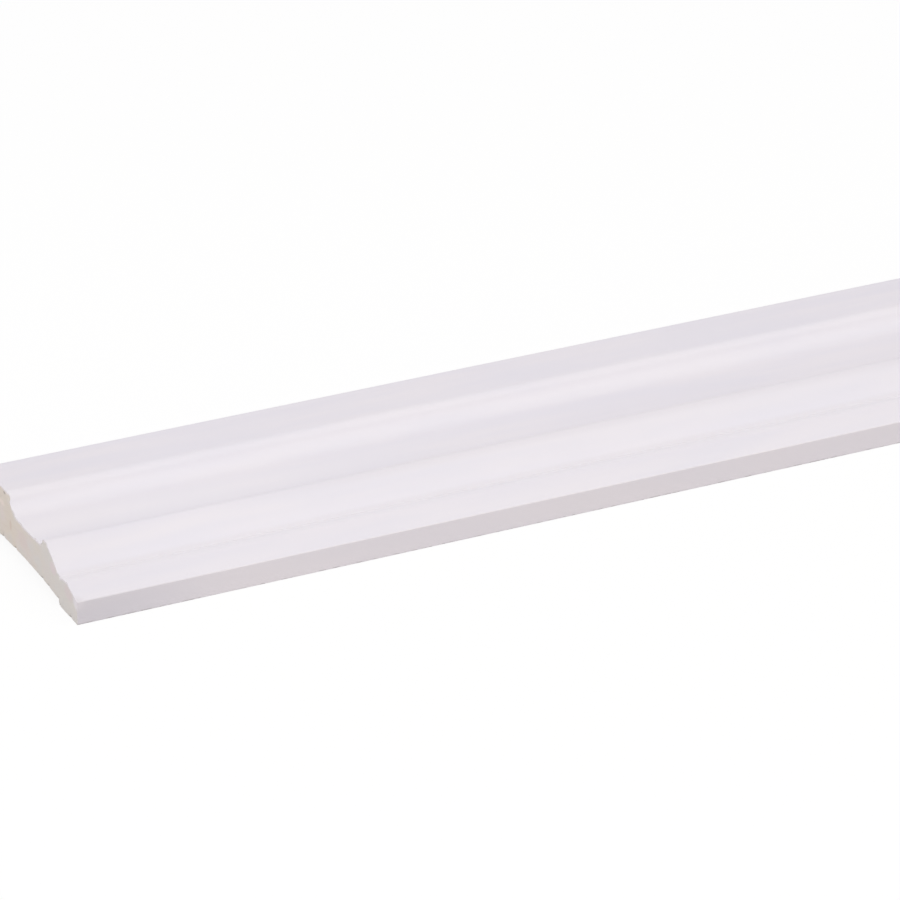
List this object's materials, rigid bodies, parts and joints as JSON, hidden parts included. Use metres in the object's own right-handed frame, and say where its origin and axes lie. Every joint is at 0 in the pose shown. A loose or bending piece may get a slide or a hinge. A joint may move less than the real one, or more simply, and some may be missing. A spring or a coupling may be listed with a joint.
{
  "type": "architrave moulding",
  "caption": "Length of moulded architrave with a thick back band, cove, bead and rounded nose, painted face, relieved back and square-sawn ends.",
  "frame": {"origin": "middle of the back, on the surface that the moulding lies on", "axes": "+X along the length, +Y across the width towards the thick back band, +Z out of the moulded face"},
  "size_m": [2.1, 0.069, 0.018],
  "materials": {
    "primed_wood": "white factory primer on the moulded face and edges, bare pale softwood at the sawn ends and on the back"
  },
  "bodies": {
    "root": {"architrave": "primed_wood"}
  },
  "joints": []
}
